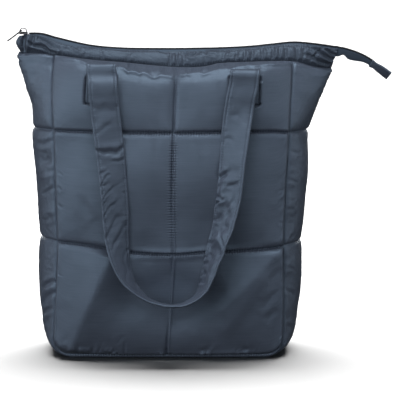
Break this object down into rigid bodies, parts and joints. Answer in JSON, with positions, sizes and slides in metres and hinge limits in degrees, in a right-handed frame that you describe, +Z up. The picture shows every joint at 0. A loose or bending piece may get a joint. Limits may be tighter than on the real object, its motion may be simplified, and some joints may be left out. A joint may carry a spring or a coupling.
{
  "type": "quilted shoulder bag",
  "caption": "Soft padded shopper bag, quilted all round, with a zipped top band, folded side wings, a flat base, flat shoulder straps and a zip tail that runs past its end.",
  "frame": {"origin": "middle of the flat base, on the surface that the bag stands on", "axes": "+X to the right as the front is seen, +Y to the back (the front faces -Y), +Z up"},
  "size_m": [0.4624, 0.2134, 0.3937],
  "materials": {
    "quilted_nylon": "satin slate-blue nylon, quilted over padding",
    "strap_nylon": "the same nylon, folded and edge-stitched",
    "zip_tape": "matt woven tape",
    "zip_coil": "dark nylon coil",
    "zip_metal": "dark gunmetal lacquer"
  },
  "bodies": {
    "bag": {"front_panel": "quilted_nylon", "back_panel": "quilted_nylon", "gusset": "quilted_nylon", "band_front": "quilted_nylon", "band_back": "quilted_nylon", "zip_tape_front": "zip_tape", "zip_tape_back": "zip_tape", "zip_coil": "zip_coil", "zip_end_tab": "quilted_nylon", "zip_slider": "zip_metal", "strap_front": "strap_nylon", "strap_back": "strap_nylon"},
    "pull": {"zip_pull": "zip_metal"}
  },
  "joints": [
    {"name": "pull_swing", "type": "hinge", "parent": "bag", "child": "pull", "pos_m": [-0.1806, 0, 0.39045], "axis": [0, 1, 0], "range_deg": [0, 205]}
  ]
}
